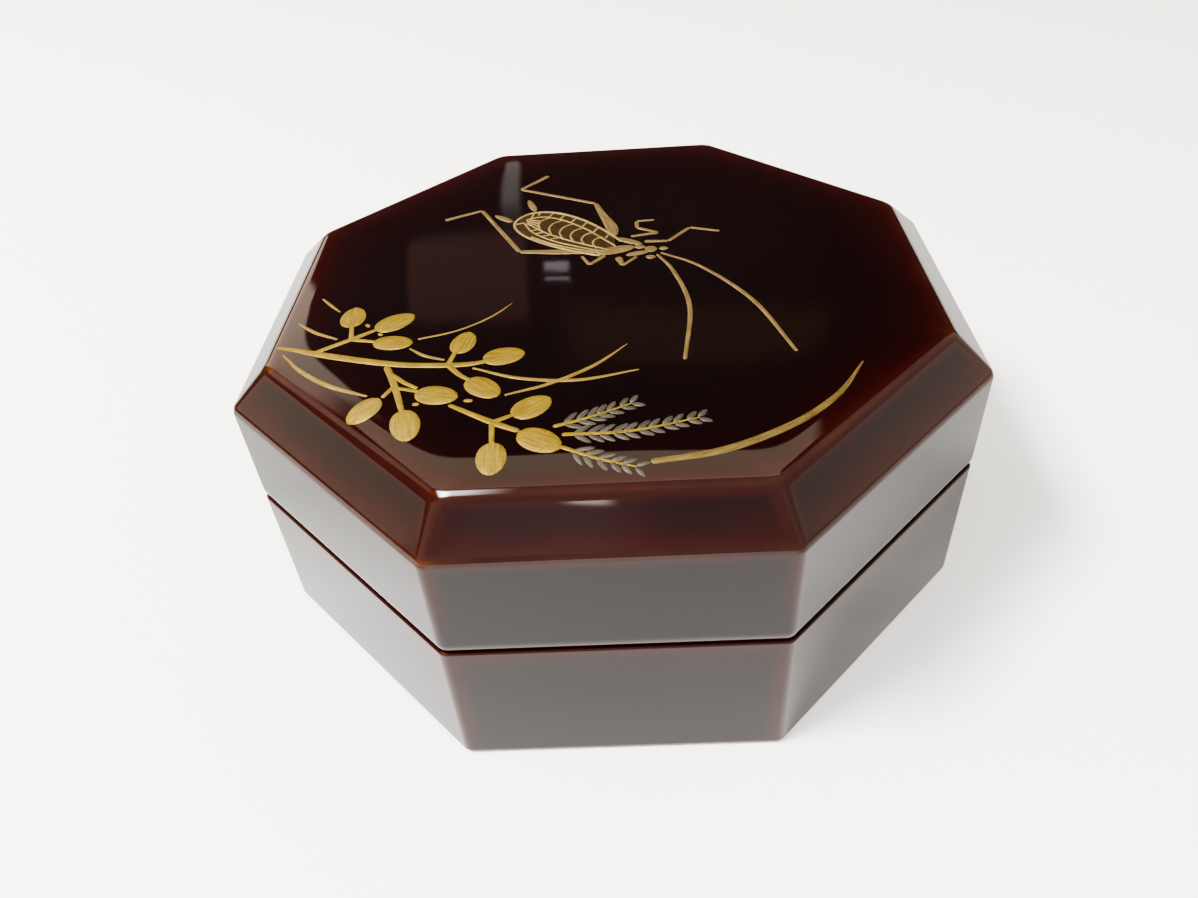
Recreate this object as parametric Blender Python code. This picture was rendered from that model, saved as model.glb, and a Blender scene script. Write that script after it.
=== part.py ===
"""An octagonal lacquered incense box: the box itself, and the lid that lifts off it.

The origin is the middle of the underside, and one flat side faces -Y. Both pieces are
turned out by the same few steps: a profile is drawn from the middle outwards and back,
its edges are rounded, and the octagon is swept along it.
"""
import math

import bmesh
import bpy
from mathutils import Vector

# Driving dimensions, in metres.
SIDES = 8
ACROSS_FLATS = 0.0750  # from one flat side to the opposite one

SHOULDER_HEIGHT = 0.0160  # from the underside up to the shoulder that carries the lid
FLOOR_THICKNESS = 0.0035  # the box's floor
LIP_THICKNESS = 0.0018  # the thin upstand inside the lid, level with the box's inner wall
LIP_HEIGHT = 0.0040  # how far the lip stands above the shoulder
LIP_PLAY = 0.0003  # all round, between the lip and the lid
SEAT_GAP = 0.0003  # between the shoulder and the lid's rim

RIM_THICKNESS = 0.0019  # the lid's upright wall
RIM_DRAW_IN = 0.00025  # how far that wall leans in towards the seam
RIM_DRAW_IN_HEIGHT = 0.0010  # over this height
LIP_HEADROOM = 0.0048  # upright inner wall of the lid that is left above the lip
TOP_THICKNESS = 0.0030  # the lid's top, and how far its inner bevel lies below the outer one
BEVEL_RUN = 0.0040  # the sloping face between the lid's wall and its top, inwards
BEVEL_RISE = 0.0038  # and upwards
CROWN_RISE = 0.0006  # how far the middle of the top stands above its edge
CROWN_FLATNESS = 10  # the power of the crown's curve: higher is flatter in the middle
CROWN_EASING = 5  # how soon the octagon turns round inwards of the edge: higher is sooner

# Roundings, as the lacquer leaves them.
UPRIGHT_CORNER = 0.0013  # the eight outer corners, seen from above
HIP_CORNER = 0.0024  # the same corners where the bevel meets the top
INNER_CORNER = 0.0015  # the eight corners of the box's hollow
BASE_ROUNDING = 0.0007
SHOULDER_ROUNDING = 0.0002  # the box's edge below the seam
RIM_ROUNDING = 0.0005  # the lid's outer edge above the seam
INNER_RIM_ROUNDING = 0.0003
DRAW_IN_ROUNDING = 0.0030  # where the lid's wall begins to lean in
LIP_ROUNDING = 0.0005
BEVEL_FOOT_ROUNDING = 0.0012
BEVEL_HEAD_ROUNDING = 0.0024
FLOOR_ROUNDING = 0.0012  # where an inner wall meets the floor or the ceiling

# Fineness of the curves.
ROUNDING_STEPS = 4
CORNER_STEPS = 4
CROWN_RINGS = 6
CROWN_CROWDING = 1.3  # above 1, the crown's rings crowd towards its edge
CROWN_EYE = 0.40  # the flat middle left inside the last ring, as a share of the top

# Places that follow from the sizes above. Heights in the lid are above its rim.
OUTSIDE = ACROSS_FLATS / 2
LIP_OUTSIDE = OUTSIDE - RIM_THICKNESS - LIP_PLAY
HOLLOW = LIP_OUTSIDE - LIP_THICKNESS
LIP_TOP = SHOULDER_HEIGHT + LIP_HEIGHT
LIP_CORNER = INNER_CORNER + LIP_THICKNESS
LID_HOLLOW = OUTSIDE - RIM_THICKNESS
LID_INNER_CORNER = LIP_CORNER + LIP_PLAY
INNER_BEVEL_FOOT = LIP_HEIGHT - SEAT_GAP + LIP_HEADROOM
CEILING = INNER_BEVEL_FOOT + BEVEL_RISE
BEVEL_FOOT = INNER_BEVEL_FOOT + TOP_THICKNESS
BEVEL_HEAD = BEVEL_FOOT + BEVEL_RISE
TOP_APOTHEM = OUTSIDE - BEVEL_RUN


def rounded(corners):
    """Round a profile. Each corner is (apothem, height, corner radius, rounding)."""
    profile = []
    for i, (apothem, height, corner, rounding) in enumerate(corners):
        if not rounding:
            profile.append((apothem, height, corner))
            continue
        here = Vector((apothem, height))
        back = Vector(corners[i - 1][:2]) - here
        onward = Vector(corners[i + 1][:2]) - here
        half_angle = back.angle(onward) / 2
        half_edge = min(back.length, onward.length) * 0.49
        reach = min(rounding / math.tan(half_angle), half_edge)
        radius = reach * math.tan(half_angle)
        bisector = (back.normalized() + onward.normalized()).normalized()
        centre = here + bisector * (radius / math.sin(half_angle))
        first = here + back.normalized() * reach - centre
        last = here + onward.normalized() * reach - centre
        for step in range(ROUNDING_STEPS + 1):
            spoke = first.normalized().slerp(last.normalized(), step / ROUNDING_STEPS)
            point = centre + spoke * radius
            profile.append((point.x, point.y, corner))
    return profile


def crown():
    """The lid's top, from its edge inwards: the octagon eases into a circle as it rises."""
    profile = []
    for i in range(1, CROWN_RINGS + 1):
        share = 1 - (1 - CROWN_EYE) * (i / CROWN_RINGS) ** CROWN_CROWDING
        apothem = TOP_APOTHEM * share
        height = BEVEL_HEAD + CROWN_RISE * (1 - share ** CROWN_FLATNESS)
        corner = HIP_CORNER + (apothem - HIP_CORNER) * (1 - share ** CROWN_EASING)
        profile.append((apothem, height, corner, 0))
    return profile


def octagon(mesh, apothem, height, corner):
    """One level ring: a regular polygon with a flat at -Y and its corners as arcs."""
    half_side = math.pi / SIDES
    ring = []
    for side in range(SIDES):
        middle = -math.pi / 2 + (2 * side + 1) * half_side
        centre = Vector((math.cos(middle), math.sin(middle), 0))
        centre *= (apothem - corner) / math.cos(half_side)
        for step in range(CORNER_STEPS + 1):
            turn = middle + half_side * (2 * step / CORNER_STEPS - 1)
            spoke = Vector((math.cos(turn), math.sin(turn), 0)) * corner
            ring.append(mesh.verts.new(centre + spoke + Vector((0, 0, height))))
    return ring


def swept(name, corners):
    """A closed piece whose profile starts and ends in the middle, outer side going up."""
    mesh = bmesh.new()
    rings = [octagon(mesh, *place) for place in rounded(corners)]
    for lower, upper in zip(rings, rings[1:]):
        for i in range(len(lower)):
            mesh.faces.new((lower[i - 1], lower[i], upper[i], upper[i - 1]))
    mesh.faces.new(reversed(rings[0]))
    mesh.faces.new(rings[-1])
    data = bpy.data.meshes.new(name)
    mesh.to_mesh(data)
    mesh.free()
    data.shade_smooth()
    data.set_sharp_from_angle(angle=math.radians(30))
    piece = bpy.data.objects.new(name, data)
    bpy.context.scene.collection.objects.link(piece)
    return piece


def lacquer(name, colour):
    """Polished lacquer: dark, smooth and not metallic."""
    material = bpy.data.materials.new(name)
    material.use_nodes = True
    shader = material.node_tree.nodes["Principled BSDF"]
    shader.inputs["Base Color"].default_value = (*colour, 1)
    shader.inputs["Roughness"].default_value = 0.08
    shader.inputs["Metallic"].default_value = 0
    return material


def build_box():
    """The box: flat underside, upright wall, shoulder, lip, and a hollow with a floor."""
    box = swept("box", [
        (OUTSIDE - 2 * BASE_ROUNDING, 0, UPRIGHT_CORNER, 0),
        (OUTSIDE, 0, UPRIGHT_CORNER, BASE_ROUNDING),
        (OUTSIDE, SHOULDER_HEIGHT, UPRIGHT_CORNER, SHOULDER_ROUNDING),
        (LIP_OUTSIDE, SHOULDER_HEIGHT, LIP_CORNER, 0),
        (LIP_OUTSIDE, LIP_TOP, LIP_CORNER, LIP_ROUNDING),
        (HOLLOW, LIP_TOP, INNER_CORNER, LIP_ROUNDING),
        (HOLLOW, FLOOR_THICKNESS, INNER_CORNER, FLOOR_ROUNDING),
        (HOLLOW - 2 * FLOOR_ROUNDING, FLOOR_THICKNESS, INNER_CORNER, 0),
    ])
    box.data.materials.append(lacquer("box_lacquer", (0.020, 0.006, 0.005)))


def build_lid():
    """The lid: a shell with a bevelled inside, an upright wall, a bevel and a crowned top."""
    ceiling_edge = LID_HOLLOW - BEVEL_RUN
    lid = swept("lid", [
        (ceiling_edge - 2 * FLOOR_ROUNDING, CEILING, LID_INNER_CORNER, 0),
        (ceiling_edge, CEILING, LID_INNER_CORNER, FLOOR_ROUNDING),
        (LID_HOLLOW, INNER_BEVEL_FOOT, LID_INNER_CORNER, FLOOR_ROUNDING),
        (LID_HOLLOW, 0, LID_INNER_CORNER, INNER_RIM_ROUNDING),
        (OUTSIDE - RIM_DRAW_IN, 0, UPRIGHT_CORNER, RIM_ROUNDING),
        (OUTSIDE, RIM_DRAW_IN_HEIGHT, UPRIGHT_CORNER, DRAW_IN_ROUNDING),
        (OUTSIDE, BEVEL_FOOT, UPRIGHT_CORNER, BEVEL_FOOT_ROUNDING),
        (TOP_APOTHEM, BEVEL_HEAD, HIP_CORNER, BEVEL_HEAD_ROUNDING),
        *crown(),
    ])
    lid.location.z = SHOULDER_HEIGHT + SEAT_GAP
    lid.data.materials.append(lacquer("lid_lacquer", (0.024, 0.007, 0.006)))


for old in list(bpy.data.objects):
    bpy.data.objects.remove(old)
build_box()
build_lid()
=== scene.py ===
"""The looks of an octagonal lacquered incense box, with gold and silver sprinkled on its lid."""

import math

import bmesh
import bpy
import numpy as np
from mathutils import Matrix, Quaternion, Vector
from mathutils.bvhtree import BVHTree


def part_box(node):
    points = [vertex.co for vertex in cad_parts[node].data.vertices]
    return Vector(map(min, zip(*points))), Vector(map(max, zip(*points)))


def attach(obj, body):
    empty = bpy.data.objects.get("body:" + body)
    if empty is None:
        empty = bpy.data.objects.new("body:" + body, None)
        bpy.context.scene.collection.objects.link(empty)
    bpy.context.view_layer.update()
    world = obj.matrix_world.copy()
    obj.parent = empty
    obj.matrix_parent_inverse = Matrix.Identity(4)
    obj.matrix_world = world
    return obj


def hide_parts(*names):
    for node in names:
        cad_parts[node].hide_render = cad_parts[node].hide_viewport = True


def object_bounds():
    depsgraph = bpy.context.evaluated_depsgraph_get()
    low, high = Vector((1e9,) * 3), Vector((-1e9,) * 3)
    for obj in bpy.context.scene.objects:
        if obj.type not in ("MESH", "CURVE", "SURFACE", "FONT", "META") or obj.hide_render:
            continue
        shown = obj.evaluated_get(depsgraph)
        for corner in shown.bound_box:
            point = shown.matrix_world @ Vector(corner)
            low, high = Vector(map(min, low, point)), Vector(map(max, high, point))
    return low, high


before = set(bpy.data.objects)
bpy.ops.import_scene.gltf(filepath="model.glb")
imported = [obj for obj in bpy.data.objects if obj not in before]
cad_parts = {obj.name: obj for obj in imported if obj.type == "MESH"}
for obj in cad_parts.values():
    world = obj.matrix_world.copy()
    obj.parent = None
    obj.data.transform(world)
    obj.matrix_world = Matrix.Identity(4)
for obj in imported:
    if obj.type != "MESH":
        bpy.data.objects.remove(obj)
solids_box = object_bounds()


# The stage's floor: one wide sheet of matt white paper, as in a small product studio. Its fine
# grain breaks up the light, and the polished walls of the box mirror it.
MM = 0.001
FLOOR_HALF = 1.6
PAPER_GRAIN = 1.11 * MM
PAPER_RELIEF = 0.1 * MM


def srgb(code):
    """An sRGB hex colour as linear red, green, blue and a full alpha."""
    shares = [int(code[i:i + 2], 16) / 255 for i in (1, 3, 5)]
    linear = [s / 12.92 if s <= 0.04045 else ((s + 0.055) / 1.055) ** 2.4 for s in shares]
    return (*linear, 1)


def add_node(material, kind, settings=(), values=(), links=()):
    """One shader node. settings are its own options, values its sockets, links what feeds it."""
    node = material.node_tree.nodes.new(kind)
    for name, value in dict(settings).items():
        setattr(node, name, value)
    for socket, value in dict(values).items():
        node.inputs[socket].default_value = value
    for socket, source in dict(links).items():
        material.node_tree.links.new(source, node.inputs[socket])
    return node


def new_material(name):
    """An empty material, and the shader that its output shows."""
    material = bpy.data.materials.new(name)
    material.use_nodes = True
    return material, material.node_tree.nodes["Principled BSDF"]


def new_piece(name, mesh, material):
    """A mesh made into an object of the scene with one material."""
    data = bpy.data.meshes.new(name)
    mesh.to_mesh(data)
    mesh.free()
    data.materials.append(material)
    piece = bpy.data.objects.new(name, data)
    bpy.context.scene.collection.objects.link(piece)
    return piece


matt_paper, shader = new_material("matt_white_paper")
place = add_node(matt_paper, "ShaderNodeTexCoord").outputs["Object"]
grain = add_node(matt_paper, "ShaderNodeTexNoise", values={"Scale": 1 / PAPER_GRAIN, "Detail": 3},
                 links={"Vector": place})
relief = add_node(matt_paper, "ShaderNodeBump", values={"Strength": 0.05, "Distance": PAPER_RELIEF},
                  links={"Height": grain.outputs["Fac"]})
matt_paper.node_tree.links.new(relief.outputs["Normal"], shader.inputs["Normal"])
shader.inputs["Base Color"].default_value = srgb("#e8e8e6")
shader.inputs["Roughness"].default_value = 0.9
shader.inputs["Specular IOR Level"].default_value = 0.1

mesh = bmesh.new()
bmesh.ops.create_grid(mesh, x_segments=8, y_segments=8, size=FLOOR_HALF)
floor = new_piece("floor", mesh, matt_paper)
floor.location.z = solids_box[0].z


# The stage's lights: soft boxes that face down from the ceiling, and cards that stand around
# the box for its polished faces to mirror. All of them fade towards their edges.
CEILING = 0.85
CARD_DISTANCE = 0.8
VECTOR_FROM, VECTOR_TO = 7, 9  # a map range's vector limits share their names with its plain ones


def soft_light(name, place, size, brightness, colour, feather=(0.5, 0.5)):
    """A rectangular soft box facing straight down. feather is how much of each way fades out."""
    data = bpy.data.lights.new(name, "AREA")
    data.shape = "RECTANGLE"
    data.size, data.size_y = size
    data.energy = brightness * math.pi * data.size * data.size_y
    data.color = srgb(colour)[:3]
    data.use_nodes = True
    place_on_it = add_node(data, "ShaderNodeNewGeometry").outputs["Parametric"]
    from_middle = add_node(data, "ShaderNodeVectorMath", {"operation": "MULTIPLY_ADD"},
                           {1: (2, 2, 2), 2: (-1, -1, -1)}, {0: place_on_it})
    outwards = add_node(data, "ShaderNodeVectorMath", {"operation": "ABSOLUTE"},
                        links={0: from_middle.outputs["Vector"]})
    fading = add_node(data, "ShaderNodeMapRange",
                      {"data_type": "FLOAT_VECTOR", "interpolation_type": "SMOOTHSTEP"},
                      {VECTOR_FROM: (1 - feather[0], 1 - feather[1], 0), VECTOR_FROM + 1: (1, 1, 1),
                       VECTOR_TO: (1, 1, 1), VECTOR_TO + 1: (0, 0, 0)},
                      {"Vector": outwards.outputs["Vector"]})
    parts = add_node(data, "ShaderNodeSeparateXYZ", links={"Vector": fading.outputs["Vector"]})
    share = add_node(data, "ShaderNodeMath", {"operation": "MULTIPLY"},
                     links={0: parts.outputs["X"], 1: parts.outputs["Y"]})
    data.node_tree.links.new(share.outputs["Value"], data.node_tree.nodes["Emission"].inputs["Strength"])
    light = bpy.data.objects.new(name, data)
    bpy.context.scene.collection.objects.link(light)
    light.location = place
    light.visible_camera = False
    return light


def standing_card(name, azimuth, elevation, size, brightness, colour, feather=(0.5, 0.5), tilt=0):
    """A soft light that stands facing the box. Azimuth 0 is behind the box, 90 to its right."""
    across, up = math.radians(azimuth), math.radians(elevation)
    away = Vector((math.sin(across) * math.cos(up), math.cos(across) * math.cos(up), math.sin(up)))
    card = soft_light(name, away * CARD_DISTANCE, size, brightness, colour, feather)
    facing = away.to_track_quat("Z", "Y") @ Quaternion((0, 0, 1), math.radians(tilt))
    card.rotation_euler = facing.to_euler()


# The lamp is only mirrored, as the white streak at the left end of the lid's front edge. The
# two fills only light what is matt: the floor and the metal powder.
lamp = soft_light("lamp", (-0.30, 0.14, CEILING), (0.38, 0.46), 56, "#fffefc", (0.9, 0.6))
lamp.visible_diffuse = False
left_fill = soft_light("left_fill", (-0.55, -0.20, CEILING), (0.35, 0.50), 86, "#fffefc")
left_fill.visible_glossy = False
front_fill = soft_light("front_fill", (0.05, -0.45, CEILING), (0.60, 0.40), 20, "#fffefc")
front_fill.visible_glossy = False

# A pale panel just above the others, behind the box. The rounded front of the lid's top mirrors
# it as a grey band, and a slight turn sets the band's ends.
PANEL_HEIGHT = CEILING + 10 * MM
PANEL_TURN = math.radians(-4)
back_ceiling = soft_light("back_ceiling", (-0.085, 0.58, PANEL_HEIGHT), (0.95, 0.34), 1.7, "#fff4d8",
                          (0.05, 0.06))
back_ceiling.rotation_euler.z = PANEL_TURN

# Cards for the left edge of the top and for the bevels: on the left, on the right, in front.
standing_card("left_back_card", -39.4, 24.8, (0.256, 0.55), 1.8, "#fff8e2", (0.08, 0.22))
standing_card("left_card", -84, 19.5, (0.34, 0.16), 1.15, "#e8fce4", (0.3, 0.3))
standing_card("left_upper_card", -62, 40, (0.26, 0.34), 1.1, "#f4ecdc", (0.4, 0.5))
standing_card("left_corner_card", -118, 34, (0.30, 0.26), 0.3, "#f4e4d0")
standing_card("right_card", 86, 22, (0.45, 0.30), 0.52, "#e4f6e0")
standing_card("right_corner_card", 122, 38, (0.30, 0.26), 0.22, "#f4e4d0")
standing_card("front_card", -171, 47, (0.24, 0.26), 0.4, "#f4dee0", (0.7, 0.7))
standing_card("gleam", -175.5, 48.7, (0.06, 0.010), 7, "#fff4ec", (0.8, 0.6))

# What the middle of the top mirrors: a faint haze, patches of brown and olive, and a strip and
# two slats of light.
standing_card("haze", -12, 38, (0.80, 0.40), 0.055, "#e4e0f4", (0.5, 0.6))
standing_card("brown_card", -12.3, 31.4, (0.12, 0.10), 0.42, "#d8a890", (0.15, 0.4), -8)
standing_card("strip_light", -8.2, 22.2, (0.026, 0.20), 0.7, "#eaf0e8", (0.6, 0.5))
standing_card("upper_slat", -5.3, 31.4, (0.029, 0.013), 1.7, "#eef0f4", (0.4, 0.6), -5)
standing_card("lower_slat", -5.3, 32.25, (0.029, 0.0055), 1.5, "#eef0f4", (0.4, 0.5), -5)
standing_card("olive_card", 6, 36.5, (0.29, 0.09), 0.25, "#d0a860", (0.3, 0.8))

# A pale surround, slightly warm, which the lights stand in.
world = bpy.data.worlds.new("pale_studio")
world.use_nodes = True
world.node_tree.nodes["Background"].inputs["Color"].default_value = srgb("#e4dcd6")
world.node_tree.nodes["Background"].inputs["Strength"].default_value = 0.9
bpy.context.scene.world = world


# Dark cloth behind the box and to its left, out of the picture, which the lacquer mirrors.
CLOTH_HEIGHT = 1.6
CLOTH_ENDS = ((-1.7, 0.9), (0.95, 0.9)), ((-0.9, -0.25), (-0.9, 0.9))
dark_cloth, shader = new_material("dark_cotton")
shader.inputs["Base Color"].default_value = srgb("#48302e")
shader.inputs["Roughness"].default_value = 1.0
mesh = bmesh.new()
for (x0, y0), (x1, y1) in CLOTH_ENDS:
    corners = ((x0, y0, 0), (x1, y1, 0), (x1, y1, CLOTH_HEIGHT), (x0, y0, CLOTH_HEIGHT))
    mesh.faces.new([mesh.verts.new(corner) for corner in corners])
backdrop = new_piece("backdrop", mesh, dark_cloth)
backdrop.visible_camera = False


# A clear sheet on both sides of the box, which only mirrored light meets: painted shade on the
# floor that the polished side walls mirror, darker away from the box.
FILM_HEIGHT = 0.1 * MM
FILM_INNER, FILM_OUTER, FILM_DEPTH = 0.03, 0.5, 0.4
# How much light the sheet lets through near the box and further out: painted shade in the mirrored floor.
CLEAR_TO, SHADE_FROM = 0.037, 0.056
CLEAR_PASSES, SHADE_PASSES = 0.98, 0.66
painted_reflection_shade, shader = new_material("painted_reflection_shade")
place = add_node(painted_reflection_shade, "ShaderNodeTexCoord").outputs["Object"]
sideways = add_node(painted_reflection_shade, "ShaderNodeSeparateXYZ", links={"Vector": place})
out = add_node(painted_reflection_shade, "ShaderNodeMath", {"operation": "ABSOLUTE"}, links={0: sideways.outputs["X"]})
passed = add_node(painted_reflection_shade, "ShaderNodeMapRange",
                  values={"From Min": CLEAR_TO, "From Max": SHADE_FROM,
                          "To Min": CLEAR_PASSES, "To Max": SHADE_PASSES},
                  links={"Value": out.outputs["Value"]})
clear = add_node(painted_reflection_shade, "ShaderNodeBsdfTransparent", links={"Color": passed.outputs["Result"]})
surface = painted_reflection_shade.node_tree.nodes["Material Output"].inputs["Surface"]
painted_reflection_shade.node_tree.links.new(clear.outputs["BSDF"], surface)
painted_reflection_shade.node_tree.nodes.remove(shader)
mesh = bmesh.new()
for side in (-1, 1):
    inner, outer = side * FILM_INNER, side * FILM_OUTER
    corners = ((inner, -FILM_DEPTH), (outer, -FILM_DEPTH), (outer, FILM_DEPTH), (inner, FILM_DEPTH))
    mesh.faces.new([mesh.verts.new((*corner, FILM_HEIGHT)) for corner in corners])
film = new_piece("film", mesh, painted_reflection_shade)
film.visible_camera = False
film.visible_diffuse = False
film.visible_shadow = False


# The camera, fitted to the box's edges in the photograph, whose frame is 1198 by 898 pixels.
# It stands 12 cm from the middle of the underside and looks down by 41 degrees.
PHOTO_WIDTH = 1198
FOCAL_PIXELS = 941.1
SENSOR = 36
LENS_RIGHT, LENS_FORWARD, LENS_HEIGHT = 2.5 * MM, -89.0 * MM, 83.7 * MM
NEAREST_SEEN = 5 * MM
YAW, PITCH, ROLL = math.radians(-2.93), math.radians(40.65), math.radians(-4.47)
camera_data = bpy.data.cameras.new("camera")
camera_data.sensor_width = SENSOR
camera_data.lens = FOCAL_PIXELS / PHOTO_WIDTH * SENSOR
camera_data.clip_start = NEAREST_SEEN
camera = bpy.data.objects.new("camera", camera_data)
bpy.context.scene.collection.objects.link(camera)
ahead = Vector((math.sin(YAW) * math.cos(PITCH), math.cos(YAW) * math.cos(PITCH), -math.sin(PITCH)))
level = Vector((math.cos(YAW), -math.sin(YAW), 0))
upward = level.cross(ahead)
right = level * math.cos(ROLL) + upward * math.sin(ROLL)
top = upward * math.cos(ROLL) - level * math.sin(ROLL)
camera.matrix_world = Matrix((right, top, -ahead)).transposed().to_4x4()
camera.location = (LENS_RIGHT, LENS_FORWARD, LENS_HEIGHT)
bpy.context.scene.camera = camera
bpy.context.scene.view_settings.look = "AgX - High Contrast"


# The box, the lower half: thin jointed wood under many coats of brown translucent lacquer,
# ground and polished to a mirror. An upright wall ends in a shoulder and a thin inner lip.
box_low, box_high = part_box("box")
lid_low, lid_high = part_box("lid")
SIDES = 8
HALF_SIDE = math.pi / SIDES
OUTSIDE = (box_high.x - box_low.x) / 2
SEAT_GAP = 0.3 * MM
SHOULDER = lid_low.z - SEAT_GAP
LIP_TOP = box_high.z
FLOOR_TOP = 3.5 * MM
RIM_THICKNESS = 1.9 * MM
LIP_PLAY = 0.3 * MM
LIP_THICKNESS = 1.8 * MM
LIP_OUTSIDE = OUTSIDE - RIM_THICKNESS - LIP_PLAY
HOLLOW = LIP_OUTSIDE - LIP_THICKNESS
UPRIGHT_CORNER = 1.3 * MM
INNER_CORNER = 1.5 * MM
LIP_CORNER = INNER_CORNER + LIP_THICKNESS
BASE_ROUNDING = 0.7 * MM
SHOULDER_ROUNDING = 0.2 * MM
LIP_ROUNDING = 0.5 * MM
INNER_ROUNDING = 1.2 * MM

# How finely the meshes follow the roundings and, beside them, the lacquer's change of colour.
ROUNDING_STEPS = 10
ARC_STEPS = 14
GRADES = [g * MM for g in (0.05, 0.15, 0.35, 0.65, 1.05, 1.6, 2.4, 3.6, 5.4, 8.0, 11.5)]
NEAR_END = 0.48  # the grades reach this share of a run from each of its ends
MOST_ROUNDED = 0.49  # a rounding takes this share of the shorter of its two edges at most
LONG_RUN = 1.0 * MM
ROUND_FROM = 4 * MM  # a larger corner radius than this leaves the octagon no straight stretch
SHARP_FROM = math.radians(50)

# Where the lacquer is thin, so that the red shows.
THIN_REACH = 0.75 * MM  # on both sides of an edge
GLOW_REACH = 2.7 * MM  # over the face beside it
HIP_REACH = 1.1 * MM  # on both sides of the eight upright corners
HIP_THIN = 0.6
HIP_ADDS = 0.25  # the share that the weaker adds where an edge and an upright corner meet


def graded(length):
    """Places along a straight run, close together near both of its ends."""
    near = [g for g in GRADES if g < NEAR_END * length]
    return near + [length / 2] + [length - g for g in reversed(near)]


def rounded(corners):
    """A profile's (apothem, height, corner radius, hip), and where on it the lacquer is thin.

    Each corner is (apothem, height, corner radius, rounding, thin, glow). Thin is 0 to 1, and
    glow is how much of it spreads onwards over the face that follows, or backwards where it
    is negative. The hip is 1 where the eight upright corners are thin too.
    """
    points, thin_at = [], []
    for i, (apothem, height, corner, rounding, thin, glow) in enumerate(corners):
        hip = 1 if thin else 0
        if not rounding:
            points.append(Vector((apothem, height, corner, hip)))
            continue
        here = Vector((apothem, height))
        back = Vector(corners[i - 1][:2]) - here
        onward = Vector(corners[i + 1][:2]) - here
        half_angle = back.angle(onward) / 2
        most = MOST_ROUNDED * min(back.length, onward.length)
        reach = min(rounding / math.tan(half_angle), most)
        radius = reach * math.tan(half_angle)
        bisector = (back.normalized() + onward.normalized()).normalized()
        centre = here + bisector * (radius / math.sin(half_angle))
        first = (here + back.normalized() * reach - centre).normalized()
        last = (here + onward.normalized() * reach - centre).normalized()
        for step in range(ROUNDING_STEPS + 1):
            place = centre + first.slerp(last, step / ROUNDING_STEPS) * radius
            points.append(Vector((place.x, place.y, corner, hip)))
        thin_at.append((len(points) - 1 - ROUNDING_STEPS // 2, thin, glow))
    return points, thin_at


def refined(points, thin_at):
    """The profile with more rings along its straight runs, and how thin the lacquer is there."""
    run, length = [0], 0
    for before, after in zip(points, points[1:]):
        length += (after.xy - before.xy).length
        run.append(length)
    thin_runs = [(run[i], thin, glow) for i, thin, glow in thin_at]
    rings = []
    for i, (before, after) in enumerate(zip(points, points[1:])):
        gap = run[i + 1] - run[i]
        places = [0] + (graded(gap) if gap > LONG_RUN else [])
        rings += [(before.lerp(after, p / gap), run[i] + p) for p in places]
    rings.append((points[-1], run[-1]))
    result = []
    for point, at in rings:
        close = max([t * math.exp(-((at - r) / THIN_REACH) ** 2) for r, t, g in thin_runs] or [0])
        halo = max([abs(g) * math.exp(-abs(at - r) / GLOW_REACH)
                    for r, t, g in thin_runs if (at - r) * g >= 0] or [0])
        result.append((*point, close + halo * (1 - close)))
    return result


def softened(place, apothem, corner):
    """The place pushed out or in to an octagon of the same size with no straight stretch left."""
    corner_left = 1 - corner * (1 - math.cos(HALF_SIDE)) / apothem
    power = math.log(0.5) / math.log(corner_left)
    reach = [sum(max(math.cos(heading - 2 * HALF_SIDE * side), 0) ** power for side in range(SIDES))
             for heading in (0, math.atan2(place.y, place.x))]
    return place.normalized() * apothem * (reach[0] / reach[1]) ** (1 / power)


def octagon(apothem, corner):
    """One ring's places, each with its distance from the nearest upright corner's line."""
    flat = 2 * (apothem - corner) * math.tan(HALF_SIDE)
    full_flat = 2 * (OUTSIDE - UPRIGHT_CORNER) * math.tan(HALF_SIDE)
    places = []
    for side in range(SIDES):
        middle = -math.pi / 2 + (2 * side + 1) * HALF_SIDE
        centre = Vector((math.cos(middle), math.sin(middle))) * (apothem - corner) / math.cos(HALF_SIDE)
        for step in range(ARC_STEPS + 1):
            turn = HALF_SIDE * (2 * step / ARC_STEPS - 1)
            spoke = Vector((math.cos(middle + turn), math.sin(middle + turn))) * corner
            places.append((centre + spoke, abs(turn) * corner))
        onward = Vector((-math.sin(middle + HALF_SIDE), math.cos(middle + HALF_SIDE)))
        arc_end = places[-1][0]
        for place in graded(full_flat):
            share = place / full_flat
            away = min(share, 1 - share) * flat + HALF_SIDE * corner
            places.append((arc_end + onward * flat * share, away))
    if corner > ROUND_FROM:
        return [(softened(place, apothem, corner), away) for place, away in places]
    return places


def swept(name, points, thin_at, material):
    """A closed piece: octagons strung along a profile that goes up on the outer side."""
    mesh = bmesh.new()
    thin_layer = mesh.verts.layers.float.new("thin_lacquer")
    rings = []
    for apothem, height, corner, hip, thin in refined(points, thin_at):
        ring = []
        for place, away in octagon(apothem, corner):
            vertex = mesh.verts.new((*place, height))
            on_hip = hip * HIP_THIN * math.exp(-(away / HIP_REACH) ** 2)
            vertex[thin_layer] = max(thin, on_hip) + HIP_ADDS * min(thin, on_hip)
            ring.append(vertex)
        rings.append(ring)
    for lower, upper in zip(rings, rings[1:]):
        for i in range(len(lower)):
            mesh.faces.new((lower[i - 1], lower[i], upper[i], upper[i - 1]))
    mesh.faces.new(reversed(rings[0]))
    mesh.faces.new(rings[-1])
    piece = new_piece(name, mesh, material)
    piece.data.shade_smooth()
    piece.data.set_sharp_from_angle(angle=SHARP_FROM)
    return piece


# Tamenuri lacquer: a red ground under clear brown coats, ground flat and polished. It gives the
# eye a mirror, near black where the coats are thick and red brown where the edges wear them thin.
THICK_COATS, THIN_COATS = "#100809", "#4f2910"
COATS_BETWEEN = (0.3, "#2b0d0b"), (0.55, "#2b120f"), (0.8, "#361b12")
CLOUD = 6.67 * MM  # the coats' slow change of thickness
WAVE = 4.55 * MM  # what the polishing leaves of the brush
WAVE_RELIEF = 0.2 * MM


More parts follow.
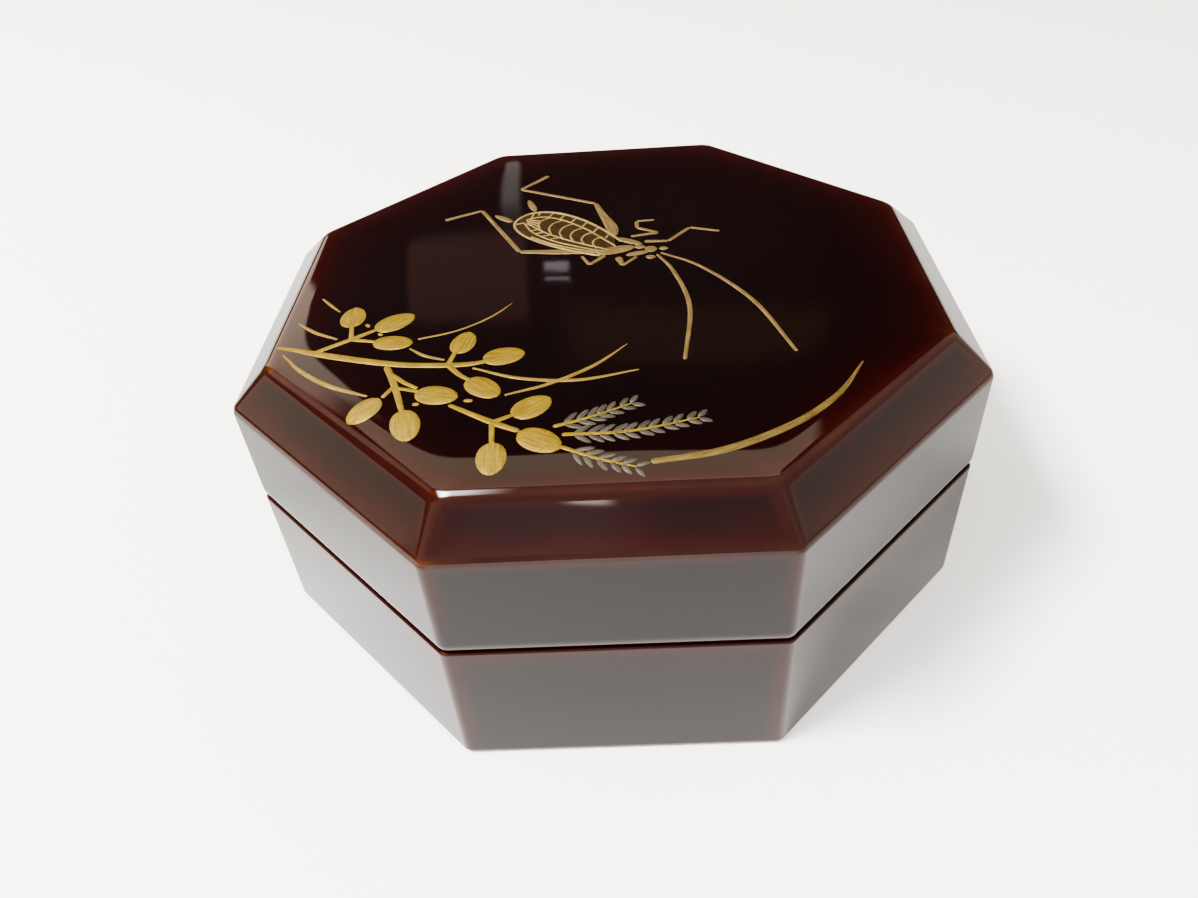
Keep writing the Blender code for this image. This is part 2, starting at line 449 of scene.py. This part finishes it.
def brown_lacquer(name):
    """The lacquer of both halves, coloured by how thin it is at each place of the mesh."""
    material, shader = new_material(name)
    coordinates = add_node(material, "ShaderNodeTexCoord").outputs["Object"]
    thin = add_node(material, "ShaderNodeAttribute", {"attribute_name": "thin_lacquer"})
    cloudy = add_node(material, "ShaderNodeTexNoise", values={"Scale": 1 / CLOUD, "Detail": 2},
                      links={"Vector": coordinates})
    varied = add_node(material, "ShaderNodeMapRange",
                      values={"From Min": 0.3, "From Max": 0.7, "To Min": 0.8, "To Max": 1.15},
                      links={"Value": cloudy.outputs["Fac"]})
    depth = add_node(material, "ShaderNodeMath", {"operation": "MULTIPLY"},
                     links={0: thin.outputs["Fac"], 1: varied.outputs["Result"]})
    ramp = add_node(material, "ShaderNodeValToRGB", links={"Fac": depth.outputs["Value"]})
    stops = ramp.color_ramp.elements
    stops[0].color = srgb(THICK_COATS)
    stops[1].color = srgb(THIN_COATS)
    for at, code in COATS_BETWEEN:
        stops.new(at).color = srgb(code)
    wavy = add_node(material, "ShaderNodeTexNoise", values={"Scale": 1 / WAVE, "Detail": 1},
                    links={"Vector": coordinates})
    relief = add_node(material, "ShaderNodeBump", values={"Strength": 0.02, "Distance": WAVE_RELIEF},
                      links={"Height": wavy.outputs["Fac"]})
    links = material.node_tree.links
    links.new(ramp.outputs["Color"], shader.inputs["Base Color"])
    links.new(relief.outputs["Normal"], shader.inputs["Normal"])
    shader.inputs["Roughness"].default_value = 0.03
    shader.inputs["IOR"].default_value = 1.5
    return material


lacquered_box = swept("lacquered_box", *rounded([
    (OUTSIDE - 2 * BASE_ROUNDING, 0, UPRIGHT_CORNER, 0, 0, 0),
    (OUTSIDE, 0, UPRIGHT_CORNER, BASE_ROUNDING, 0.4, 0),
    (OUTSIDE, SHOULDER, UPRIGHT_CORNER, SHOULDER_ROUNDING, 0.5, -0.2),
    (LIP_OUTSIDE, SHOULDER, LIP_CORNER, 0, 0, 0),
    (LIP_OUTSIDE, LIP_TOP, LIP_CORNER, LIP_ROUNDING, 0.6, 0),
    (HOLLOW, LIP_TOP, INNER_CORNER, LIP_ROUNDING, 0.6, 0),
    (HOLLOW, FLOOR_TOP, INNER_CORNER, INNER_ROUNDING, 0, 0),
    (HOLLOW - 2 * INNER_ROUNDING, FLOOR_TOP, INNER_CORNER, 0, 0, 0),
]), brown_lacquer("brown_tamenuri_lacquer"))
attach(lacquered_box, "root")
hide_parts("box")


# The lid, the upper half: the same lacquered wood, with an upright wall, a bevel all round
# and a top that swells very slightly. It drops over the box's lip and is not hinged. The wall
# leans in above the rim, so that the closed seam is a narrow groove.
RESTING_GAP = 0.04 * MM
LID_HOLLOW = OUTSIDE - RIM_THICKNESS
LID_INNER_CORNER = LIP_CORNER + LIP_PLAY
TOP_THICKNESS = 3.0 * MM
BEVEL_RUN = 4.0 * MM
BEVEL_RISE = 3.8 * MM
CROWN_RISE = 0.6 * MM
CROWN_FLATNESS = 10
CROWN_EASING = 5
RIM_ROUNDING = 0.5 * MM
RIM_DRAW_IN = 0.25 * MM
RIM_DRAW_IN_HEIGHT = 1.0 * MM
DRAW_IN_ROUNDING = 3.0 * MM
INNER_RIM_ROUNDING = 0.3 * MM
HIP_CORNER = 2.4 * MM
BEVEL_FOOT_ROUNDING = 1.2 * MM
BEVEL_HEAD_ROUNDING = 2.4 * MM
CROWN_RINGS = 32
CROWN_START = 2.1 * MM
CROWN_EYE = 0.35
RIM = SHOULDER + RESTING_GAP
BEVEL_HEAD = lid_high.z - CROWN_RISE
BEVEL_FOOT = BEVEL_HEAD - BEVEL_RISE
TOP_APOTHEM = OUTSIDE - BEVEL_RUN


def crown():
    """The top from just inside its edge inwards: the octagon eases into a circle as it rises."""
    points = []
    outermost = 1 - CROWN_START / TOP_APOTHEM
    for i in range(CROWN_RINGS + 1):
        share = outermost + (CROWN_EYE - outermost) * i / CROWN_RINGS
        apothem = TOP_APOTHEM * share
        height = BEVEL_HEAD + CROWN_RISE * (1 - share ** CROWN_FLATNESS)
        corner = HIP_CORNER + (apothem - HIP_CORNER) * (1 - share ** CROWN_EASING)
        points.append((apothem, height, corner, 0, 0, 0))
    return points


ceiling_edge = LID_HOLLOW - BEVEL_RUN
lacquered_lid = swept("lacquered_lid", *rounded([
    (ceiling_edge - 2 * INNER_ROUNDING, BEVEL_HEAD - TOP_THICKNESS, LID_INNER_CORNER, 0, 0, 0),
    (ceiling_edge, BEVEL_HEAD - TOP_THICKNESS, LID_INNER_CORNER, INNER_ROUNDING, 0, 0),
    (LID_HOLLOW, BEVEL_FOOT - TOP_THICKNESS, LID_INNER_CORNER, INNER_ROUNDING, 0, 0),
    (LID_HOLLOW, RIM, LID_INNER_CORNER, INNER_RIM_ROUNDING, 0.5, 0),
    (OUTSIDE - RIM_DRAW_IN, RIM, UPRIGHT_CORNER, RIM_ROUNDING, 0.4, 0),
    (OUTSIDE, RIM + RIM_DRAW_IN_HEIGHT, UPRIGHT_CORNER, DRAW_IN_ROUNDING, 0, 0),
    (OUTSIDE, BEVEL_FOOT, UPRIGHT_CORNER, BEVEL_FOOT_ROUNDING, 0.55, 0.45),
    (TOP_APOTHEM, BEVEL_HEAD, HIP_CORNER, BEVEL_HEAD_ROUNDING, 0.6, 0.35),
    *crown(),
]), lacquered_box.data.materials[0])
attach(lacquered_lid, "root")
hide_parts("lid")


# The bush clover spray: drawn in wet lacquer with a fine brush, sprinkled with gold powder,
# then sealed and rubbed down. Each stroke stands less than a tenth of a millimetre proud.
# Places on the lid are in millimetres, to the right of its middle and behind it.
PROUD = 0.07 * MM
SUNK = 0.02 * MM  # how far a stroke's edges reach into the lacquer
BRUSH_STEP = 0.25
ASIDE = 0.1  # the stroke's direction is taken over this much of it on both sides of a place
ACROSS = (-1, -0.9, -0.65, -0.25, 0.25, 0.65, 0.9, 1)
CAP_TURNS = [math.radians(a) for a in (15, 40, 65, 90)]
FLATNESS = 8  # the power of a stroke's cross-section: higher is flatter in the middle
FULL_WIDTH = 0.5  # a narrower stroke than this is lower in proportion
CREASED_FROM = math.radians(60)
OVERHEAD = 1.0  # rays are dropped on the lid from this height
lid_top = BVHTree.FromObject(lacquered_lid, bpy.context.evaluated_depsgraph_get())


def curved(*points):
    """A smooth brush path through a few (right, back, width) points."""
    points = [Vector(p) for p in points]
    ends = [points[0] * 2 - points[1], *points, points[-1] * 2 - points[-2]]
    path = []
    for a, b, c, d in zip(ends, ends[1:], ends[2:], ends[3:]):
        count = math.ceil((c - b).xy.length / BRUSH_STEP)
        for t in [i / count for i in range(count)]:
            bend = (2 * a - 5 * b + 4 * c - d) * t ** 2 + (3 * b - a - 3 * c + d) * t ** 3
            path.append(b + ((c - a) * t + bend) / 2)
    return path + [points[-1]]


LEAF_STEPS = 16
LEAF_POINT = 0.45  # the power of the leaf's outline: lower is blunter
LEAF_FOOT = 0.9  # below 1, the leaf is broadest nearer its foot
LEAF_NARROWEST = 0.06


def leaf(right, back, length, width, angle):
    """A broad oval stroke centred on a place: rounder at its foot, narrower towards its tip."""
    along = Vector((math.cos(math.radians(angle)), math.sin(math.radians(angle)), 0))
    foot = Vector((right, back, 0)) - along * length / 2
    path = []
    for i in range(LEAF_STEPS + 1):
        share = (1 - math.cos(math.pi * i / LEAF_STEPS)) / 2
        wide = width * math.sin(math.pi * share ** LEAF_FOOT) ** LEAF_POINT
        path.append(foot + along * length * share + Vector((0, 0, max(wide, LEAF_NARROWEST))))
    return path


def brushed(mesh, path, proud):
    """One raised stroke laid on the lid as a closed body, with round ends."""
    brush_layer = mesh.verts.layers.float_vector["brush"]
    number = len(mesh.verts)
    path = np.array(path)
    run = np.concatenate(([0], np.cumsum(np.hypot(*np.diff(path[:, :2], axis=0).T))))
    length, first, last = run[-1], path[0, 2] / 2, path[-1, 2] / 2
    stations = [(first * (1 - math.cos(a)), math.sin(a)) for a in CAP_TURNS]
    between = length - first - last
    count = max(2, math.ceil(between / BRUSH_STEP))
    stations += [(first + between * i / count, 1) for i in range(1, count)]
    stations += [(length - last * (1 - math.cos(a)), math.sin(a)) for a in reversed(CAP_TURNS)]
    rings = []
    for at, narrowing in stations:
        x, y, width = (np.interp(at, run, path[:, i]) for i in range(3))
        x0, y0 = (np.interp(at - ASIDE, run, path[:, i]) for i in range(2))
        x1, y1 = (np.interp(at + ASIDE, run, path[:, i]) for i in range(2))
        sideways = Vector((y0 - y1, x1 - x0)).normalized() * width / 2 * narrowing
        ring = []
        for share in ACROSS:
            place = Vector((x, y)) + sideways * share
            above = Vector((place.x * MM, place.y * MM, OVERHEAD))
            surface = lid_top.ray_cast(above, Vector((0, 0, -1)))[0]
            swell = (1 - share ** FLATNESS) * min(1, width * narrowing / FULL_WIDTH)
            vertex = mesh.verts.new(surface + Vector((0, 0, proud * swell - SUNK)))
            vertex[brush_layer] = (at, share * width / 2, number)
            ring.append(vertex)
        rings.append(ring)
    for before, after in zip(rings, rings[1:]):
        for i in range(len(ACROSS)):
            mesh.faces.new((before[i - 1], before[i], after[i], after[i - 1]))
    mesh.faces.new(reversed(rings[0]))
    mesh.faces.new(rings[-1])


def drawing(name, paths, material, proud=PROUD):
    """Strokes of one powder as a piece that lies on the lid."""
    mesh = bmesh.new()
    mesh.verts.layers.float_vector.new("brush")
    for path in paths:
        brushed(mesh, path, proud)
    bmesh.ops.recalc_face_normals(mesh, faces=mesh.faces)
    piece = new_piece(name, mesh, material)
    piece.data.shade_smooth()
    piece.data.set_sharp_from_angle(angle=CREASED_FROM)
    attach(piece, "root")


# Metal powder: fine grains sprinkled on wet lacquer, sealed and rubbed down. It gives the eye a
# satin glow with no mirroring, in streaks along the brush where more of the grains have stuck.
# The grains are drawn several times as coarse as real ones, so that they show.
GRAIN = 0.18 * MM
GRAIN_RELIEF = 0.06 * MM
STREAK_LENGTH, STREAK_WIDTH = 2, 0.222  # millimetres, as the brush's places are


def metal_powder(name, thin, middle, heaped):
    """One powder, from its colour where few grains have stuck to where they are heaped."""
    material, shader = new_material(name)
    brush = add_node(material, "ShaderNodeAttribute", {"attribute_name": "brush"})
    drawn_out = add_node(material, "ShaderNodeMapping",
                         values={"Scale": (1 / STREAK_LENGTH, 1 / STREAK_WIDTH, 1)},
                         links={"Vector": brush.outputs["Vector"]})
    streaks = add_node(material, "ShaderNodeTexNoise", values={"Scale": 1, "Detail": 3},
                       links={"Vector": drawn_out.outputs["Vector"]})
    place = add_node(material, "ShaderNodeTexCoord").outputs["Object"]
    grains = add_node(material, "ShaderNodeTexNoise", values={"Scale": 1 / GRAIN, "Detail": 2},
                      links={"Vector": place})
    mixed = add_node(material, "ShaderNodeMix", values={"Factor": 0.4},
                     links={"A": streaks.outputs["Fac"], "B": grains.outputs["Fac"]})
    ramp = add_node(material, "ShaderNodeValToRGB", links={"Fac": mixed.outputs["Result"]})
    stops = ramp.color_ramp.elements
    stops[0].position, stops[0].color = 0.34, srgb(thin)
    stops[1].position, stops[1].color = 0.62, srgb(heaped)
    stops.new(0.48).color = srgb(middle)
    relief = add_node(material, "ShaderNodeBump", values={"Strength": 0.35, "Distance": GRAIN_RELIEF},
                      links={"Height": mixed.outputs["Result"]})
    links = material.node_tree.links
    links.new(ramp.outputs["Color"], shader.inputs["Base Color"])
    links.new(relief.outputs["Normal"], shader.inputs["Normal"])
    shader.inputs["Metallic"].default_value = 0.4
    shader.inputs["Roughness"].default_value = 0.5
    return material


# Pure gold, thickly sprinkled: a full warm yellow.
gold_powder = metal_powder("gold_powder", "#5c4c13", "#725f1d", "#85702c")
drawing("bush_clover", [
    curved((-33, -10.7, 0.5), (-27, -13.2, 0.95), (-20, -15.3, 0.9), (-14, -15.9, 0.8),
           (-11, -15.5, 0.6)),
    curved((-29, -12.6, 0.6), (-25.5, -10.6, 0.7), (-23, -9, 0.5)),
    curved((-25.4, -10.6, 0.6), (-25.8, -8.2, 0.5)),
    curved((-25.4, -10.6, 0.6), (-22.5, -11.3, 0.5)),
    curved((-15, -15.8, 0.6), (-14.5, -13.6, 0.5)),
    curved((-15, -15.8, 0.7), (-13.8, -17.4, 0.6), (-12.6, -18.5, 0.5)),
    curved((-21, -15.5, 0.7), (-19.7, -18.6, 0.75), (-18.4, -22.5, 0.6)),
    curved((-20.3, -16.8, 0.5), (-18.8, -18.3, 0.55), (-17.4, -19.3, 0.4)),
    curved((-19.7, -18.8, 0.5), (-20.6, -20.4, 0.5)),
    curved((-19.6, -19, 0.5), (-17.2, -19.8, 0.5)),
    curved((-14.2, -22, 0.5), (-10, -24.8, 0.75), (-7.5, -26.2, 0.6)),
    curved((-10, -24.8, 0.6), (-8.2, -23.9, 0.5)),
    curved((-10, -24.8, 0.6), (-9.8, -27.6, 0.5)),
    leaf(-26, -6.5, 3.8, 2.8, 92),
    leaf(-21.4, -7.9, 4.4, 3, 35),
    leaf(-21, -11.6, 4.1, 2.6, -6),
    leaf(-13.9, -12.2, 3.8, 2.6, 78),
    leaf(-9.7, -14.8, 4.1, 3, 12),
    leaf(-11.3, -19.7, 4.2, 2.8, -42),
    leaf(-15.5, -20.5, 4.2, 2.9, -14),
    leaf(-22, -22, 3.9, 2.7, -128),
    leaf(-17.8, -24.5, 4.4, 2.9, -74),
    leaf(-5.7, -27.5, 4.4, 3, -32),
    leaf(-6.6, -22.9, 4.1, 3, 38),
    leaf(-9.7, -29.5, 4, 2.8, -88),
    curved((-24.4, -7.9, 0.45), (-23.9, -8.5, 0.45)),
    curved((-22.8, -9.7, 0.45), (-22.3, -10.2, 0.45)),
    curved((-17.6, -21.6, 0.5), (-16.9, -21.7, 0.5)),
    curved((-12.9, -21.5, 0.5), (-12, -21.6, 0.5)),
], gold_powder)


# The grass: single strokes of the same brush, sprinkled with gold, which start with the tip of
# the brush and lift off to a point. The longest sweeps round the front of the lid. Their gold
# is thinner than the leaves', so it looks a little paler on the blades and darker on the long one.
grass_gold = metal_powder("grass_gold_powder", "#5c4d20", "#725f2c", "#85703a")
drawing("grass_blades", [
    curved((-30.2, -2.2, 0.25), (-29, -3.7, 0.4), (-27.6, -5.3, 0.2)),
    curved((-31.8, -6.6, 0.25), (-29.5, -8.8, 0.5), (-26.8, -10.4, 0.3)),
    curved((-32, -12.2, 0.25), (-29.5, -15.2, 0.5), (-26, -18, 0.6), (-22, -20, 0.3)),
    curved((-19.2, -12.7, 0.25), (-17.5, -14.1, 0.45), (-15.4, -15, 0.3)),
    curved((-18.6, -11.2, 0.35), (-14.8, -10, 0.3), (-11.6, -7.8, 0.3), (-9.3, -5, 0.12)),
    curved((-12.6, -16.5, 0.3), (-8, -18.5, 0.5), (-2.5, -19.2, 0.5), (3.2, -18, 0.25)),
    curved((-9.2, -21, 0.3), (-5, -19.5, 0.5), (-1, -17, 0.45), (2.2, -13.7, 0.15)),
], grass_gold)
long_blade_gold = metal_powder("long_blade_gold_powder", "#4a3a16", "#5f4f29", "#73623a")
drawing("long_blade", [
    curved((3.7, -30.7, 0.7), (10, -29.6, 0.85), (16, -26.7, 0.8), (20.6, -22.8, 0.6),
           (23.8, -18.1, 0.2)),
], long_blade_gold)


# The fronds: a gold stem each, with pairs of small leaflets in silver powder, which has dulled
# to a warm grey. The leaflets lean forwards and shrink towards the tip.
FRONDS = (
    ((-4.6, -25.8), (-1.6, -24.8), (2.4, -23)),
    ((-3.8, -26.9), (2.2, -26.8), (8.2, -25.4)),
    ((-3.9, -28.4), (-0.8, -30), (2.6, -31.2)),
)
STEM_WIDTHS = 0.5, 0.4, 0.2
LONGEST_LEAFLET, SHORTEST_LEAFLET = 1.9425, 1.295
LEAFLET_WIDTH = 0.62
LEAFLET_GAP = 1.15
LEAFLET_LEAN = math.radians(36)
CLEAR_OF_STEM = 0.15
stems, leaflets = [], []
for points in FRONDS:
    stem = curved(*[(*place, width) for place, width in zip(points, STEM_WIDTHS)])
    stems.append(stem)
    length = sum((b - a).xy.length for a, b in zip(stem, stem[1:]))
    pairs = round(length / LEAFLET_GAP)
    for i in range(1, pairs + 1):
        number = round((len(stem) - 2) * i / pairs)
        here = stem[number]
        onward = stem[number + 1] - here
        size = LONGEST_LEAFLET + (SHORTEST_LEAFLET - LONGEST_LEAFLET) * i / pairs
        away = size / 2 + CLEAR_OF_STEM
        for side in (-1, 1):
            lean = math.atan2(onward.y, onward.x) + side * LEAFLET_LEAN
            leaflets.append(leaf(here.x + math.cos(lean) * away, here.y + math.sin(lean) * away,
                                 size, LEAFLET_WIDTH, math.degrees(lean)))
drawing("frond_stems", stems, gold_powder)
silver_powder = metal_powder("silver_powder", "#312e26", "#423d34", "#544f44")
drawing("frond_leaflets", leaflets, silver_powder)


# The bell cricket, which sings in autumn: its wings are a thin wash of gold rubbed almost away,
# veined in heaped gold, and its body, legs and feelers are solid strokes. It faces right.
WING_TAIL = Vector((-9.9, 13.5))
WING_HEAD = Vector((0.7, 4.9))
WING_WIDTH = 7.1
WING_LEAN = 0.08  # how far the wings lie behind their axis, as a share of half their width
WING_END = 0.86  # the share of the outline's arch at which the wings meet the body
WING_TAIL_FULLNESS = 0.6  # lower is broader near the tail
WING_FULLNESS = 0.7  # lower is blunter at both ends
WASH_STEPS = 24
WASH_NARROWEST = 0.1
OUTLINE_STEPS = 40
OUTLINE_SIDE = 0.97
OUTLINE_WIDTH, MAIN_VEIN_WIDTH, VEIN_WIDTH = 0.4, 0.3, 0.28
WASH_PROUD = 0.035 * MM
VEIN_PROUD = 0.13 * MM


def wing_width(share):
    """How wide the folded wings are: round at the tail, narrower where they meet the body."""
    arch = math.sin(math.pi * WING_END * share ** WING_TAIL_FULLNESS)
    return WING_WIDTH * arch ** WING_FULLNESS


def wing_place(share, side):
    """A place on the wings: share runs from tail to body, side from -1 in front to 1 behind."""
    axis = WING_HEAD - WING_TAIL
    outwards = Vector((-axis.y, axis.x)).normalized() * wing_width(share) / 2
    return WING_TAIL + axis * share + outwards * (side + WING_LEAN * abs(side))


def vein(*places, width=VEIN_WIDTH):
    """A vein through (share, side) places on the wings."""
    return curved(*[(*wing_place(*place), width) for place in places])


# Gold rubbed almost away, through which the dark lacquer shows: an olive brown.
wing_wash = []
for i in range(WASH_STEPS + 1):
    place = wing_place(i / WASH_STEPS, WING_LEAN)
    wing_wash.append(Vector((*place, max(wing_width(i / WASH_STEPS), WASH_NARROWEST))))
rubbed_gold = metal_powder("rubbed_gold_powder", "#201306", "#302009", "#423010")
drawing("wing_wash", [wing_wash], rubbed_gold, WASH_PROUD)

# The veins: the outline, four that run lengthwise, then the short ones that cross between them.
outline = []
for i in range(OUTLINE_STEPS + 1):
    turn = math.pi * (2 * i / OUTLINE_STEPS - 1)
    outline.append((math.sin(turn / 2) ** 2, OUTLINE_SIDE if turn < 0 else -OUTLINE_SIDE))
veins = [
    vein(*outline, width=OUTLINE_WIDTH),
    vein((0.07, 0), (0.1, 0.32), (0.18, 0.56), (0.35, 0.62), (0.6, 0.6), (0.85, 0.5), (1, 0.42),
         width=MAIN_VEIN_WIDTH),
    vein((0.07, 0), (0.2, -0.26), (0.4, -0.34), (0.65, -0.32), (1, -0.12), width=MAIN_VEIN_WIDTH),
    vein((0.09, -0.3), (0.28, -0.6), (0.55, -0.64), (0.85, -0.52), (1, -0.4)),
    vein((0.3, -0.86), (0.55, -0.84), (0.8, -0.76), (0.97, -0.68)),
]
for at in (0.08, 0.18, 0.29, 0.41, 0.54, 0.68, 0.83):
    veins.append(vein((at, 0.95), (at + 0.02, 0.6)))
for at in (0.22, 0.34, 0.46, 0.58, 0.7, 0.82):
    veins.append(vein((at, 0.6), (at - 0.03, 0.28), (at, -0.04), (at + 0.08, -0.31)))
for i in range(4):
    veins.append(vein((0.08 + 0.01 * i, 0.1 - 0.12 * i), (0.2 + 0.02 * i, 0.22 - 0.16 * i)))
for at in (0.22, 0.3, 0.38, 0.47):
    veins.append(vein((at + 0.05, -0.33), (at, -0.6)))
veins.append(vein((0.04, 0.95), (0.09, 0.2)))
veins.append(vein((0.04, -0.95), (0.09, -0.25)))

# Gold heaped along the veins looks the palest, and the thinly sprinkled gold of the body, the
# legs and the feelers is browner.
pale_gold = metal_powder("pale_gold_powder", "#66552c", "#7c6b42", "#908056")
drawing("wing_veins", veins, pale_gold, VEIN_PROUD)
thin_gold = metal_powder("thin_gold_powder", "#4f3f20", "#655534", "#7a6946")
drawing("cricket_body", [
    leaf(1.3, 4.7, 4.4, 1.8, 14),
    leaf(2.9, 6.5, 3.3, 1.05, -32),
    leaf(3.7, 3.7, 2.7, 0.95, 14),
    leaf(4, 5.1, 1.4, 0.9, -12),
    leaf(5.2, 4.5, 1.4, 1.5, -6),
    leaf(6.6, 4.5, 1.05, 0.9, 0),
    leaf(5.1, 2.75, 1.15, 0.9, -8),
    leaf(-8.7, 16.6, 3.2, 0.95, 108),
    leaf(-11.9, 13.6, 3, 0.95, 140),
], thin_gold)
drawing("cricket_legs", [
    curved((1.1, 7.9, 0.9), (0.9, 10, 1.5), (-0.1, 13.2, 1), (-1, 16.3, 0.6)),
    curved((-1, 16.3, 0.6), (-10.3, 21.2, 0.55)),
    curved((-10.3, 21.2, 0.5), (-7, 24.8, 0.75)),
    curved((-0.8, 4.5, 0.9), (-5, 4.9, 1.1), (-9.5, 5.4, 0.7)),
    curved((-9.5, 5.4, 0.6), (-14.7, 16, 0.55)),
    curved((-14.7, 16, 0.5), (-19, 14, 0.7)),
    curved((4.5, 6.3, 0.6), (7.2, 6.1, 0.55)),
    curved((7.2, 6.1, 0.5), (9.8, 9, 0.5)),
    curved((9.8, 9, 0.5), (13.1, 7.8, 0.45)),
    curved((3, 7.6, 0.5), (6.2, 8.2, 0.6)),
    curved((6.2, 8.2, 0.5), (3.8, 9.6, 0.55)),
    curved((3.8, 9.6, 0.5), (3.8, 11.2, 0.5)),
    curved((3.8, 11.2, 0.5), (5.9, 11.3, 0.45)),
    curved((-2.5, 3.7, 0.4), (-1.6, 1.7, 0.5)),
    curved((-1.6, 1.7, 0.5), (0.1, 3.6, 0.6)),
    curved((1.5, 3.1, 1), (2, 1.2, 0.5)),
    curved((2, 1.2, 0.45), (3.6, 3, 0.5)),
], thin_gold)
drawing("cricket_feelers", [
    curved((5.8, 3.3, 0.35), (7.4, -0.6, 0.5), (8.6, -7.6, 0.55), (7.5, -16.8, 0.42)),
    curved((6.2, 3.6, 0.35), (10.4, 0.1, 0.45), (15, -7, 0.55), (18, -16.3, 0.4)),
], thin_gold)
